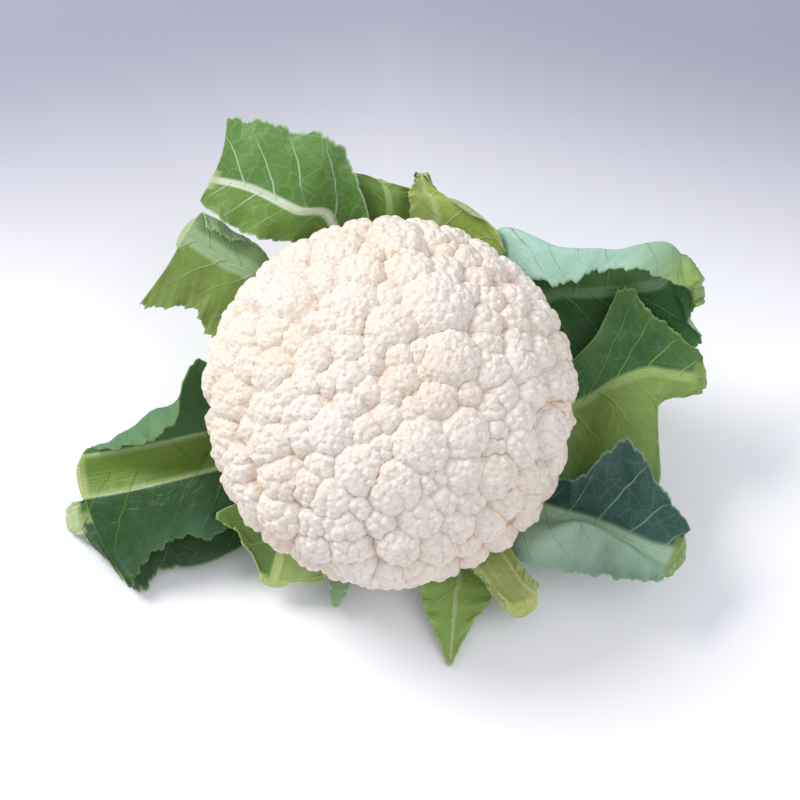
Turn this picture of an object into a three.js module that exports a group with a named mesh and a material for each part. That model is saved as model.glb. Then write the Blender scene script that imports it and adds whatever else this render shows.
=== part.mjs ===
// A head of cauliflower with its trimmed wrapper leaves, standing on the flat cut of its stem.
// Millimetres and degrees, +Z up. The origin is the middle of the cut face of the stem.
// The head leans toward -Y, the side that faces the viewer.
import * as THREE from 'three';

// Driving dimensions
const LEAN = 16;                 // lean of the head's axis toward -Y
const CURD_CENTRE = [0, 3, 75];  // middle of the curd's widest circle, along the leaning axis
const CURD_RADIUS = 75.5;        // radius under the florets
const CURD_HEIGHT = 47;          // dome above the widest circle, under the florets
const CURD_STEPS = 54;           // squares across the dome
const UNDERSIDE = [[77, -9], [70, -18], [57, -27], [44, -33], [30, -37]];  // radius, height
const CAP_HEIGHT = 0.5;          // height of a floret over its radius
const CAP_REACH = 1.2;           // reach of a floret's foot over its radius
const KNOBS_RISE = 1.4;          // mean rise of the knobs that cover the florets
const VIEW_TURN = 14;            // between the head's axis and the line of sight
const ON_DOME = 0.925;           // florets stand proud, so they are seen further out
const STEM_RADII = [24, 23.6, 23.7, 24.2, 25.2, 26.2, 27];  // from the cut up to the curd
const STEM_TOP = 37.6;           // length of the stem along the axis
const SHEET = 0.4;               // half the thickness of a leaf blade
const FACING = [0, -30, 170];    // the upper faces of the leaf roots look toward this point
const ROWS = 13;                 // points along a leaf's rib
const RIB_STEPS = 2;             // points across half a rib
const BLADE_STEPS = 4;           // points across half a blade
const EYE = [4.3, -517.7, 938.9];       // where the viewer stands
const PLANE_MIDDLE = [0, -18.4, 72.5];  // middle of the upright plane that the viewer faces
const LOOK_DOWN = 60;                   // slope of the line of sight

// Main florets as the viewer sees them: right and up of the curd's middle, and their radius
const FLORETS = [
  [3, 73, 11], [-24, 68, 10], [-42, 66, 9], [-45, 57, 7], [-57, 50, 8], [-66, 29, 9],
  [-74, 16, 8], [-72, 1, 9], [-63, 16, 7], [-46, 46, 11], [-30, 54, 8], [-52, 31, 7.5],
  [-41, 27, 6], [-34, 34, 4], [-28, 35, 5], [-25, 44, 5], [-16, 44, 9], [-18, 34, 6],
  [-13, 57, 8.5], [-9, 66, 6], [0, 46, 6], [1, 33, 9], [-18, 23, 6], [-26, 26, 4.5],
  [-34, 19, 7], [-52, 13, 8.5], [-19, 11, 6.5], [-9, 16, 4], [-7, 23, 4], [-37, 8, 6],
  [-28, 8, 4.5], [-45, 4, 6], [20, 74, 8], [7, 66, 6], [10, 58, 9], [25, 59, 6.5],
  [26, 69, 5], [35, 65, 6], [46, 62, 6], [40, 56, 5], [21, 43, 13], [46, 45, 5.5],
  [36, 48, 4.5], [43, 35, 6.5], [56, 36, 6], [57, 46, 6], [68, 36, 6], [57, 26, 6],
  [68, 21, 6.5], [43, 25, 6], [27, 18, 11], [14, 21, 5], [5, 20, 5], [7, 10, 5.5],
  [16, 12, 4], [45, 13, 8], [58, 15, 8], [63, 4, 7], [50, 3, 7], [76, 6, 7.5],
  [35, 3, 5.5], [21, 0, 7.5], [0, 3, 5], [-10, 4, 5], [10, -5, 5], [0, -8, 5.5],
  [-54, -5, 7.5], [-36, -4, 6.5], [-45, -7, 5], [-74, -16, 8], [-62, -13, 5.5],
  [-53, -19, 9], [-38, -16, 6.5], [-26, -14, 9], [-18, -3, 5.5], [-68, -29, 8],
  [-48, -34, 9], [-36, -38, 7], [-30, -29, 6], [-63, -43, 7.5], [-49, -51, 9.5],
  [-25, -43, 8.5], [-34, -54, 6.5], [-21, -55, 8], [-33, -65, 7.5], [-18, -66, 8],
  [-14, -75, 9], [-12, -31, 10], [-13, -46, 6], [-4, -54, 6], [-10, -14, 6], [-4, -21, 6],
  [2, -38, 10.5], [14, -20, 10.5], [33, -15, 9.5], [15, -35, 6], [22, -33, 5],
  [33, -32, 8], [47, -33, 9], [23, -45, 6], [14, -51, 8.5], [35, -45, 6], [30, -56, 7.5],
  [44, -55, 7.5], [52, -45, 7.5], [61, -36, 6], [67, -37, 6], [63, -45, 5.5],
  [46, -3, 6], [46, -14, 5.5], [46, -22, 5.5], [58, -21, 8], [57, -7, 7], [73, -14, 9],
  [77, -3, 6], [75, -28, 6.5], [5, -65, 8.5], [21, -65, 8.5], [12, -76, 9], [0, -78, 10],
  [34, -64, 6],
];
const BACK_RING = 17;            // florets on the hidden back of the rim
const RIM_RING = 32;             // florets under the rim, all round

// One row for each leaf. rib holds the rib's half width at the stem and at the end, then its
// thickness at both, and a negative crest hollows its upper face. slant is how far the cut end
// of the rib reaches out below. A root is x, y, z and half the width of the leaf near the stem.
// A row of the net holds five points across the leaf: its
// left margin, the middle of its left half, its rib, the middle of its right half and its
// right margin. Such a point says how far right and up of the middle the viewer sees it, and
// its height over the table. left and right cut lobes into the margins, as shares of the half
// width along the leaf, and wave holds the height, the number and the phase of the waves.
const LEAVES = [
  { name: 'leaf_top_left', colour: 0x5f9440, rib: [9, 5, 6, 3], wave: [1.6, 5, 0],
    roots: [[-12.5, 16, 29.5, 10], [-22, 40, 46, 12]],
    net: [
      [[-38, 65, 74], [-31, 71, 77], [-25, 77, 80], [-17, 83, 84], [-9, 86, 87]],
      [[-51, 68, 82], [-46, 75, 87], [-40, 82, 90], [-31, 98, 99], [-23, 113, 107]],
      [[-66, 73, 86], [-62, 82, 91], [-59, 91, 94], [-54, 106, 102], [-50, 121, 108]],
      [[-82, 85, 90], [-79, 90, 93], [-76, 95, 95], [-71, 108, 101], [-69, 123, 105]]],
    right: [1, 1, 1, 1, 0.97, 0.9, 1, 1, 0.93, 1, 0.97, 1] },
  { name: 'leaf_left_upper', colour: 0x6ea03f, rib: [9, 8, 6, 5], wave: [0.8, 5, 1], slant: 2,
    roots: [[-22, 10, 15, 10], [-48, 22, 33, 14]],
    net: [
      [[-76, 25, 46], [-65, 38, 54], [-56, 51, 61], [-53, 59, 66], [-53, 64, 70]],
      [[-89, 36, 52], [-79, 49, 61], [-70, 61, 68], [-66, 72, 74], [-68, 69, 77]],
      [[-108, 40, 56], [-95, 58, 68], [-87, 72, 76], [-80, 81, 80], [-78, 74, 83]]],
    left: [1, 1, 1, 1, 1, 1, 0.98, 0.84, 0.9, 1, 1] },
  { name: 'leaf_left', colour: 0x4f8a3c, rib: [9, 11, 7, 7], wave: [1.2, 7, 0.5], crest: -2.5, slant: 4,
    roots: [[-26, -10, 22, 10], [-56, -16, 33, 14]],
    net: [
      [[-71, -57, 24], [-72, -40, 34], [-76, -21, 40], [-79, -2, 49], [-83, 19, 60]],
      [[-93, -62, 22], [-95, -46, 31], [-98, -26, 38], [-98, -3, 54], [-93, -12, 60]],
      [[-105, -72, 14], [-110, -55, 24], [-118, -30, 34], [-116, -15, 44], [-112, -20, 48]],
      [[-110, -82, 7], [-123, -60, 19], [-132.5, -32, 30], [-130.5, -22, 34], [-126, -20, 37]]],
    left: [1, 1, 1, 1, 0.97, 1, 0.94, 1, 0.97, 1, 1, 1] },
  { name: 'leaf_left_under', colour: 0x4a8440, rib: [8, 8, 6, 6], wave: [0.8, 6, 0], slant: 6,
    roots: [[-24, -13, 9, 10]],
    net: [
      [[-71, -66, 6], [-73, -56, 8], [-75, -45, 10], [-77, -39, 11], [-78, -34, 12]],
      [[-97, -73, 5], [-101, -60, 7], [-104, -47, 9], [-106, -41, 10], [-107, -37, 11]],
      [[-107, -82, 2.6], [-114, -66, 6], [-121, -49, 9], [-122, -43, 10], [-122, -39, 11]],
      [[-128, -60, 8], [-131, -55, 8.5], [-133, -50, 9], [-133, -46, 10], [-132, -42, 11]]] },
  { name: 'leaf_lower_left', colour: 0x7aa352, rib: [7, 7, 5, 4], wave: [0.5, 3, 0], slant: 3,
    roots: [[-14, -28, 17, 8]],
    net: [
      [[-30, -63, 25], [-36, -60, 22], [-44, -56, 22], [-60, -50, 29], [-72, -46, 35]],
      [[-25, -70, 25], [-35, -71, 19], [-47, -66, 19], [-58, -60, 24], [-67, -54, 31]],
      [[-29, -77, 21], [-41, -77, 15], [-50, -76.5, 14], [-56, -72, 18], [-58, -66, 24]]] },
  { name: 'leaf_front_small', colour: 0x5a8f55, rib: [3, 2, 3, 1.5], wave: [0.3, 3, 0],
    roots: [[-1, -35, 19, 4]],
    net: [
      [[-15, -67, 17], [-18, -66, 15], [-21, -66, 14], [-24, -66, 14], [-27, -66, 15]],
      [[-17, -78, 13], [-19, -77, 12], [-22, -76, 11], [-24, -76, 11], [-26, -76, 12]],
      [[-21, -86, 7], [-22, -87, 7], [-23, -87, 7], [-24, -87, 7], [-25, -86, 7]]] },
  { name: 'leaf_front', colour: 0x6fa043, rib: [6, 2, 4, 1.2], wave: [0.6, 6, 0],
    roots: [[6, -28, 7, 8]],
    net: [
      [[41, -72, 13], [35, -71, 11], [28, -70, 10], [20, -71, 11], [12, -72, 13]],
      [[44, -84, 11], [36, -83, 9], [28, -83, 8.5], [20, -84, 9], [13, -85, 10]],
      [[36, -94, 7], [32, -95, 6], [27, -96, 5.5], [22, -96, 6], [18, -96, 7]],
      [[26.5, -111, 2.3], [26, -112, 2.3], [25.6, -112, 2.2], [25.2, -112, 2.3], [24.8, -111, 2.3]]] },
  { name: 'leaf_front_right', colour: 0xa9c06a, rib: [8, 8, 6, 6], wave: [0.4, 3, 0], crest: -1.5, slant: 6,
    roots: [[16, -28, 18, 9]],
    net: [
      [[50, -61, 31], [47, -63, 27], [41, -66, 25], [35, -67, 26], [30, -66, 29]],
      [[58, -72, 28], [55, -76, 23], [50, -79, 21], [43, -78, 23], [38, -74, 28]],
      [[64, -78, 24.5], [61, -82, 20.5], [56, -85, 19], [50, -85, 21.5], [45, -81, 26.5]]] },
  { name: 'leaf_right_lower', colour: 0x3f7a5a, rib: [9, 10, 6, 6], wave: [1, 6, 0], slant: 7,
    roots: [[22, -16, 10, 10], [46, -33, 21, 10]],
    net: [
      [[73, -33, 44], [71, -39, 38], [66, -47, 31], [61, -55, 33], [56, -68, 27]],
      [[83, -29, 54], [84, -40, 46], [85, -52, 35], [81, -53, 40], [80, -74, 21]],
      [[101, -14, 60], [101, -36, 51], [101, -59, 37], [99, -61, 42], [97, -76, 28]],
      [[116, -34, 53], [113, -47, 46], [112, -64, 36], [110, -69, 38], [107, -77, 32]],
      [[129, -54, 42], [125, -58, 38], [121, -66, 34], [118, -72, 33], [116, -77, 33]]],
    left: [1, 1, 1, 1, 1, 0.95, 1, 1, 1, 0.97, 1, 1] },
  { name: 'leaf_right', colour: 0x6f9f4a, rib: [9, 8, 6, 6], wave: [1, 5, 0], slant: 4,
    roots: [[26, -6, 23, 10], [58, -8, 34, 12]],
    net: [
      [[86, 26, 60], [84, 12, 50], [82, 0, 41], [80, -17, 33], [77, -37, 25]],
      [[99, 51, 77], [97, 30, 62], [96, 8, 49], [95, -14, 41], [93, -39, 33]],
      [[111, 40, 73], [110, 27, 64], [110, 13, 54], [112, -10, 46], [115, -36, 36]],
      [[122, 31, 68], [119, 22, 61], [118, 12, 55], [116, 5, 52], [113, -4, 48]],
      [[134, 20, 61], [133, 15, 58], [131.5, 10, 56], [131, 6, 54], [130.5, 3, 52]]] },
  { name: 'leaf_top_right', colour: 0x5f9470, rib: [9, 10, 6, 5], wave: [0.8, 5, 0], slant: 2,
    roots: [[22, 9, 15, 10], [54, 31, 27, 14]],
    net: [
      [[57, 50, 75], [45, 72, 79], [66, 44, 56], [72, 25, 44], [76, 8, 34]],
      [[74, 48, 84], [73, 66, 88], [88, 47, 66], [92, 32, 52], [93, 16, 43]],
      [[91, 55, 88], [96, 65, 90], [112, 50, 74], [122, 37, 64], [132, 23, 56]],
      [[110, 54, 91], [119, 67.5, 91], [121, 55, 81], [125, 43, 72], [128, 33, 66]],
      [[126, 48, 83], [129, 52, 83], [130, 48.5, 80], [130.5, 45, 77], [130, 41, 74]]] },
  { name: 'leaf_back', colour: 0x4f8f3a, rib: [8, 3, 5, 2], wave: [0.6, 4, 0],
    roots: [[1, 22, 19, 10], [-1, 52, 41, 12]],
    net: [
      [[-17, 83, 79], [-8, 83, 81], [0, 82, 82], [5, 82, 81], [10, 84, 80]],
      [[-21, 98, 88], [-11, 97, 89], [-3, 94, 90], [2, 93, 89], [9, 91, 87]]] },
  { name: 'leaf_back_right', colour: 0x8ab046, rib: [8, 3, 5, 2], wave: [0.8, 4, 0],
    roots: [[11, 16, 29, 9], [23, 46, 44, 12]],
    net: [
      [[8, 83, 87], [14, 82, 86], [20, 80, 84], [35, 78.5, 84], [50, 67, 84]],
      [[8, 90, 92], [11, 90, 92], [15, 90, 91], [20, 89, 90], [25, 86, 88]],
      [[12.5, 96, 96], [13, 97, 96], [13.7, 97, 96], [14.4, 97, 96], [15, 96, 96]]] },
];

const rad = THREE.MathUtils.degToRad;
const vec = (p) => new THREE.Vector3(p[0], p[1], p[2]);

// A mesh from points and triangles, with its triangles turned outward
function solid(name, points, faces, colour, roughness) {
  let volume = 0;
  for (const [a, b, c] of faces) {
    volume += points[a].dot(new THREE.Vector3().crossVectors(points[b], points[c]));
  }
  const turned = volume < 0 ? faces.map(([a, b, c]) => [a, c, b]) : faces;
  const geometry = new THREE.BufferGeometry().setFromPoints(points);
  geometry.setIndex(turned.flat());
  geometry.computeVertexNormals();
  const material = new THREE.MeshStandardMaterial({ color: colour, roughness, metalness: 0 });
  const mesh = new THREE.Mesh(geometry, material);
  mesh.name = name;
  return mesh;
}

// The curd

// Dome point for a unit direction, before the florets are raised
const domePoint = (d) => new THREE.Vector3(
  CURD_RADIUS * d.x, CURD_RADIUS * d.y, CURD_HEIGHT * d.z);

// Where a line of sight meets the dome: the larger root of the ellipsoid's quadratic
function seenOnDome(right, up) {
  const start = [right, up * Math.cos(rad(VIEW_TURN)), up * Math.sin(rad(VIEW_TURN))];
  const sight = [0, -Math.sin(rad(VIEW_TURN)), Math.cos(rad(VIEW_TURN))];
  const shape = [CURD_RADIUS ** -2, CURD_RADIUS ** -2, CURD_HEIGHT ** -2];
  const sum = (a, b) => a.reduce((total, v, k) => total + v * b[k] * shape[k], 0);
  const p = sum(sight, sight);
  const q = sum(start, sight);
  const t = (Math.sqrt(Math.max(0, q * q - p * (sum(start, start) - 1))) - q) / p;
  return new THREE.Vector3(...start.map((v, k) => v + t * sight[k]));
}

// Middles and radii of all main florets: those in view, the back of the rim and under the rim
function floretSpots() {
  const spots = FLORETS.map(([right, up, radius]) => (
    { middle: seenOnDome(right * ON_DOME, up * ON_DOME), radius }));
  for (let k = 0; k < BACK_RING; k += 1) {
    const turn = 0.1 + ((Math.PI - 0.2) * k) / (BACK_RING - 1);
    const middle = new THREE.Vector3(
      75 * Math.cos(turn), 75 * Math.sin(turn), 5 + 3 * Math.sin(5 * turn));
    spots.push({ middle, radius: 8 });
  }
  for (let k = 0; k < RIM_RING; k += 1) {
    const turn = 0.1 + (2 * Math.PI * k) / RIM_RING;
    const middle = new THREE.Vector3(
      76 * Math.cos(turn), 76 * Math.sin(turn), -12 + 2 * Math.sin(7 * turn));
    spots.push({ middle, radius: 7 });
  }
  return spots;
}

const florets = floretSpots();

// Rise over the dome: the highest round cap at a point, where each floret is such a cap
function relief(point) {
  let rise = -Infinity;
  for (const { middle, radius } of florets) {
    const d = point.distanceTo(middle) / radius;
    const inside = Math.min(0.98, d / CAP_REACH);
    const cap = Math.sqrt(1 - inside * inside) - 1.2 * Math.max(0, d - CAP_REACH * 0.98);
    rise = Math.max(rise, CAP_HEIGHT * radius * cap);
  }
  return Math.max(0, rise) + KNOBS_RISE;
}

// A square of points is bent into a disc, and the disc is laid over the dome
function domeDirection(i, j) {
  const a = (2 * i) / CURD_STEPS - 1;
  const b = (2 * j) / CURD_STEPS - 1;
  const x = a * Math.sqrt(1 - (b * b) / 2);
  const y = b * Math.sqrt(1 - (a * a) / 2);
  const r = Math.hypot(x, y);
  if (r < 1e-9) return new THREE.Vector3(0, 0, 1);
  const polar = (Math.PI / 2) * (0.8 * r + 0.2 * r * r);
  return new THREE.Vector3((x / r) * Math.sin(polar), (y / r) * Math.sin(polar), Math.cos(polar));
}

function curd() {
  const n = CURD_STEPS;
  const points = [];
  const faces = [];
  for (let i = 0; i <= n; i += 1) {
    for (let j = 0; j <= n; j += 1) {
      const d = domeDirection(i, j);
      const p = domePoint(d);
      const out = new THREE.Vector3(
        d.x / CURD_RADIUS, d.y / CURD_RADIUS, d.z / CURD_HEIGHT).normalize();
      points.push(p.clone().addScaledVector(out, relief(p)));
    }
  }
  const id = (i, j) => i * (n + 1) + j;
  for (let i = 0; i < n; i += 1) {
    for (let j = 0; j < n; j += 1) {
      const [a, b, c, d] = [id(i, j), id(i + 1, j), id(i + 1, j + 1), id(i, j + 1)];
      // The diagonal that stands further out keeps the florets round
      const first = points[a].clone().add(points[c]).length();
      const second = points[b].clone().add(points[d]).length();
      if (first > second) faces.push([a, b, c], [a, c, d]);
      else faces.push([a, b, d], [b, c, d]);
    }
  }
  // The rim of the square, once round
  let ring = [];
  for (let k = 0; k < n; k += 1) ring.push(id(k, 0));
  for (let k = 0; k < n; k += 1) ring.push(id(n, k));
  for (let k = n; k > 0; k -= 1) ring.push(id(k, n));
  for (let k = n; k > 0; k -= 1) ring.push(id(0, k));
  const turns = ring.map((k) => Math.atan2(points[k].y, points[k].x));
  const count = ring.length;
  for (const [radius, height] of UNDERSIDE) {
    const next = [];
    for (let k = 0; k < count; k += 1) {
      const base = new THREE.Vector3(
        radius * Math.cos(turns[k]), radius * Math.sin(turns[k]), height);
      const bump = height > -25 ? 0.55 * relief(base) : 0;
      const out = new THREE.Vector3(base.x, base.y, height * 1.2).normalize();
      next.push(points.length);
      points.push(base.addScaledVector(out, bump));
    }
    for (let k = 0; k < count; k += 1) {
      const m = (k + 1) % count;
      faces.push([ring[k], next[k], next[m]]);
      faces.push([ring[k], next[m], ring[m]]);
    }
    ring = next;
  }
  const seat = points.length;
  points.push(new THREE.Vector3(0, 0, UNDERSIDE[UNDERSIDE.length - 1][1]));
  for (let k = 0; k < count; k += 1) faces.push([ring[k], seat, ring[(k + 1) % count]]);
  return solid('curd', points, faces, 0xf1e7d6, 0.7);
}

// The stem: level at the cut, square to the leaning axis at the top
function stem() {
  const sides = 28;
  const levels = 12;
  const axis = new THREE.Vector3(0, -Math.sin(rad(LEAN)), Math.cos(rad(LEAN)));
  const points = [];
  const faces = [];
  for (let i = 0; i <= levels; i += 1) {
    const t = i / levels;
    const span = t * (STEM_RADII.length - 1);
    const low = Math.min(STEM_RADII.length - 2, Math.floor(span));
    const radius = THREE.MathUtils.lerp(STEM_RADII[low], STEM_RADII[low + 1], span - low);
    const tilt = rad(LEAN) * t;
    const centre = axis.clone().multiplyScalar(STEM_TOP * t);
    for (let k = 0; k < sides; k += 1) {
      const turn = (k / sides) * 2 * Math.PI;
      const scar = 1 - 0.02 * Math.abs(Math.sin(4 * turn + 9 * t));
      const r = radius * scar;
      points.push(new THREE.Vector3(
        r * Math.cos(turn), r * Math.sin(turn) * Math.cos(tilt),
        r * Math.sin(turn) * Math.sin(tilt)).add(centre));
    }
  }
  for (let i = 0; i < levels; i += 1) {
    for (let k = 0; k < sides; k += 1) {
      const m = (k + 1) % sides;
      const a = i * sides;
      const b = a + sides;
      faces.push([a + k, a + m, b + m]);
      faces.push([a + k, b + m, b + k]);
    }
  }
  const foot = points.length;
  points.push(new THREE.Vector3(0, 0, 0));
  const top = points.length;
  points.push(axis.clone().multiplyScalar(STEM_TOP));
  for (let k = 0; k < sides; k += 1) {
    const m = (k + 1) % sides;
    faces.push([foot, m, k]);
    faces.push([top, levels * sides + k, levels * sides + m]);
  }
  return solid('stem', points, faces, 0xd9e0b4, 0.6);
}

// The leaves

// Smooth curve through a list of rows of numbers
function through(rows, t) {
  const n = rows.length;
  const at = (k, c) => {
    if (k < 0) return 2 * rows[0][c] - rows[1][c];
    if (k >= n) return 2 * rows[n - 1][c] - rows[n - 2][c];
    return rows[k][c];
  };
  const s = Math.min(1, Math.max(0, t)) * (n - 1);
  const k = Math.min(n - 2, Math.floor(s));
  const f = s - k;
  return rows[0].map((_, c) => {
    const [p, q, r, w] = [at(k - 1, c), at(k, c), at(k + 1, c), at(k + 2, c)];
    return 0.5 * (2 * q + (r - p) * f + (2 * p - 5 * q + 4 * r - w) * f * f
      + (3 * q - p - 3 * r + w) * f * f * f);
  });
}

// Value of a list spread evenly over 0 to 1
function spread(list, t) {
  if (!list) return 1;
  const s = t * (list.length - 1);
  const k = Math.min(list.length - 2, Math.floor(s));
  return THREE.MathUtils.lerp(list[k], list[k + 1], s - k);
}

// The point that the viewer sees right and up of the middle, at a height over the table
function seen([right, up, height]) {
  const ray = vec(PLANE_MIDDLE).add(new THREE.Vector3(
    right, up * Math.sin(rad(LOOK_DOWN)), up * Math.cos(rad(LOOK_DOWN)))).sub(vec(EYE));
  return vec(EYE).addScaledVector(ray, (height - EYE[2]) / ray.z);
}

// All rows of a leaf, root rows first: five points across the leaf in each
function netPoints({ roots, net }) {
  const rows = net.map((row) => row.map(seen));
  const line = [...roots.map(vec), ...rows.map((row) => row[2])];
  const rootRows = roots.map((root, k) => {
    const along = line[k + 1].clone().sub(line[Math.max(0, k - 1)]).normalize();
    const up = vec(FACING).sub(line[k]).normalize();
    const across = new THREE.Vector3().crossVectors(along, up).normalize();
    return [-1, -0.5, 0, 0.5, 1].map((place) => (
      line[k].clone().addScaledVector(across, place * root[3])));
  });
  return [...rootRows, ...rows];
}

// Points at given distances along a polyline that starts at the rib
function walk(line, distances) {
  const run = [0];
  line.slice(1).forEach((p, k) => run.push(run[k] + p.distanceTo(line[k])));
  return distances.map((s) => {
    let k = 0;
    while (k < run.length - 2 && run[k + 1] < s) k += 1;
    return line[k].clone().lerp(line[k + 1], (s - run[k]) / (run[k + 1] - run[k]));
  });
}

const lengthOf = (line) => line.slice(1).reduce((sum, p, k) => sum + p.distanceTo(line[k]), 0);

// Upper-face normals of a grid of points: across the leaf times along it
function skinNormals(grid) {
  const last = grid.length - 1;
  const side = grid[0].length - 1;
  return grid.map((line, i) => line.map((_, j) => {
    const along = grid[Math.min(last, i + 1)][j].clone().sub(grid[Math.max(0, i - 1)][j]);
    const across = line[Math.min(side, j + 1)].clone().sub(line[Math.max(0, j - 1)]);
    return across.cross(along).normalize();
  }));
}

function leaf(data) {
  const { name, colour, rib, left, right, wave, crest = 0.5, slant = 0 } = data;
  const net = netPoints(data).map((row) => row.flatMap((p) => p.toArray()));
  const grid = [];
  const belly = [];
  const hollow = [];
  const ripple = [];
  for (let i = 0; i < ROWS; i += 1) {
    const u = i / (ROWS - 1);
    const row = through(net, u);
    const five = [0, 3, 6, 9, 12].map((k) => row.slice(k, k + 3));
    const curve = Array.from({ length: 97 }, (_, k) => vec(through(five, k / 96)));
    const ribHalf = THREE.MathUtils.lerp(rib[0], rib[1], u);
    const ribThick = THREE.MathUtils.lerp(rib[2], rib[3], u);
    const grow = THREE.MathUtils.smoothstep(u, 0.25, 0.6);
    const halves = [curve.slice(0, 49).reverse(), curve.slice(48)].map((half, k) => {
      const width = lengthOf(half) * spread(k ? right : left, u);
      const inner = Math.min(ribHalf, 0.7 * width);
      const distances = [];
      for (let m = 1; m <= RIB_STEPS; m += 1) distances.push((inner * m) / RIB_STEPS);
      for (let m = 1; m <= BLADE_STEPS; m += 1) {
        distances.push(inner + ((width - inner) * m) / BLADE_STEPS);
      }
      const turn = 2 * Math.PI * wave[1] * u + wave[2] + (k ? 1 : -1);
      return walk(half, distances).map((p, m) => {
        const near = Math.min(1, distances[m] / ribHalf);
        const out = distances[m] / width;
        return { p, near, lift: wave[0] * out * out * Math.sin(turn) * grow };
      });
    });
    const line = [...halves[0].reverse(), { p: vec(five[2]), near: 0, lift: 0 }, ...halves[1]];
    grid.push(line.map(({ p }) => p));
    belly.push(line.map(({ near }) => ribThick * Math.sqrt(1 - near * near)));
    hollow.push(line.map(({ near }) => crest * (1 - near * near) ** 2));
    ripple.push(line.map(({ lift }) => lift));
  }
  const flat = skinNormals(grid);
  grid.forEach((line, i) => line.forEach((p, j) => p.addScaledVector(flat[i][j], ripple[i][j])));
  const normals = skinNormals(grid);
  const columns = grid[0].length;
  const points = [];
  for (const layer of [0, 1]) {
    grid.forEach((line, i) => line.forEach((p, j) => {
      const upper = SHEET + Math.max(hollow[i][j], -0.75 * belly[i][j]);
      const step = layer ? -SHEET - belly[i][j] : upper;
      const place = p.clone().addScaledVector(normals[i][j], step);
      if (layer && i === ROWS - 1) {
        const out = p.clone().sub(grid[i - 1][j]).normalize();
        place.addScaledVector(out, (slant * belly[i][j]) / rib[3]);
      }
      points.push(place);
    }));
  }
  const faces = [];
  const id = (layer, i, j) => layer * ROWS * columns + i * columns + j;
  for (let i = 0; i < ROWS - 1; i += 1) {
    for (let j = 0; j < columns - 1; j += 1) {
      faces.push([id(0, i, j), id(0, i + 1, j), id(0, i + 1, j + 1)]);
      faces.push([id(0, i, j), id(0, i + 1, j + 1), id(0, i, j + 1)]);
      faces.push([id(1, i, j), id(1, i + 1, j + 1), id(1, i + 1, j)]);
      faces.push([id(1, i, j), id(1, i, j + 1), id(1, i + 1, j + 1)]);
    }
  }
  // The margin, once round the leaf
  const rim = [];
  for (let i = 0; i < ROWS - 1; i += 1) rim.push([i, 0]);
  for (let j = 0; j < columns - 1; j += 1) rim.push([ROWS - 1, j]);
  for (let i = ROWS - 1; i > 0; i -= 1) rim.push([i, columns - 1]);
  for (let j = columns - 1; j > 0; j -= 1) rim.push([0, j]);
  rim.forEach(([i, j], k) => {
    const [m, n] = rim[(k + 1) % rim.length];
    faces.push([id(0, i, j), id(1, i, j), id(1, m, n)]);
    faces.push([id(0, i, j), id(1, m, n), id(0, m, n)]);
  });
  return solid(name, points, faces, colour, 0.5);
}

// The whole plant
const cauliflower = new THREE.Group();
cauliflower.name = 'cauliflower';
const head = new THREE.Group();
head.rotation.x = rad(LEAN);
const top = curd();
top.position.set(...CURD_CENTRE);
head.add(top);
cauliflower.add(stem(), head, ...LEAVES.map(leaf));
cauliflower.updateMatrixWorld(true);

export default cauliflower;
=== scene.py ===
# %% [markdown]
# # A head of cauliflower
# The object is one head of cauliflower that stands on its cut stem, with a ring of trimmed
# leaves round it. The solids come in as a fixed frame, and every visible piece is then worked
# out again as a finer surface in the same place. All shapes are in millimetres until the mesh
# is made, because the plant's sizes are easy to picture in millimetres.

# %% The frame
import math

import bpy
import numpy as np
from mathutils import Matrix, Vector


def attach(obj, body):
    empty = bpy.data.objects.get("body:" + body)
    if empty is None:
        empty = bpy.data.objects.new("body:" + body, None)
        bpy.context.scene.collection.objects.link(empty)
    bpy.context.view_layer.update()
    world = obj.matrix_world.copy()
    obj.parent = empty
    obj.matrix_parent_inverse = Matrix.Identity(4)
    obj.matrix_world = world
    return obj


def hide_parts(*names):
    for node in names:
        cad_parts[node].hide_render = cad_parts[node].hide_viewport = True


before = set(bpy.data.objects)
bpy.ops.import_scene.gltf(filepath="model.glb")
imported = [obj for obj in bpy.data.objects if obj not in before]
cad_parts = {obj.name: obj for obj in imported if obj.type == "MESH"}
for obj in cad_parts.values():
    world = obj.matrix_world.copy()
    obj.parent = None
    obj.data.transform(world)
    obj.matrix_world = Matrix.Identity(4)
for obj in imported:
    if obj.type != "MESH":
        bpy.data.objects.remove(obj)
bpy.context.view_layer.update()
print("nodes in the frame:", len(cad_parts))

# %% [markdown]
# ## The camera
# The photographer stood over a table and looked down at about 60 degrees with a long lens,
# so nearby and far leaves have nearly the same scale. A 105 mm lens one metre away gives that.

# %% Camera
LEAN = math.radians(16)          # lean of the head's axis toward the viewer
LOOK_DOWN = math.radians(60)
LOOK_AT = Vector((0.0043, -0.0177, 0.0729))
DISTANCE = 1.0

eye = LOOK_AT + DISTANCE * Vector((0, -math.cos(LOOK_DOWN), math.sin(LOOK_DOWN)))
camera = bpy.data.objects.new("camera", bpy.data.cameras.new("camera"))
camera.location = eye
camera.rotation_euler = (math.radians(90) - LOOK_DOWN, 0, 0)
camera.data.lens = 105.4
camera.data.sensor_width = 36
camera.data.clip_end = 20
bpy.context.collection.objects.link(camera)
bpy.context.scene.camera = camera
bpy.context.scene.view_settings.view_transform = "Standard"
print("camera at", [round(v, 3) for v in eye])

# %% [markdown]
# ## Small tools for surfaces
# Every piece is a grid of points. These helpers give the quads between the points of a grid
# and turn arrays into a mesh with one named number, or one vector, for each point.

# %% Meshes from arrays
MILLIMETRE = 0.001


def grid_quads(rows, columns, start=0):
    """Quads between neighbouring points of a grid that is stored row by row."""
    ids = start + np.arange(rows * columns).reshape(rows, columns)
    return np.stack([ids[:-1, :-1], ids[1:, :-1], ids[1:, 1:], ids[:-1, 1:]], -1).reshape(-1, 4)


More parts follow.
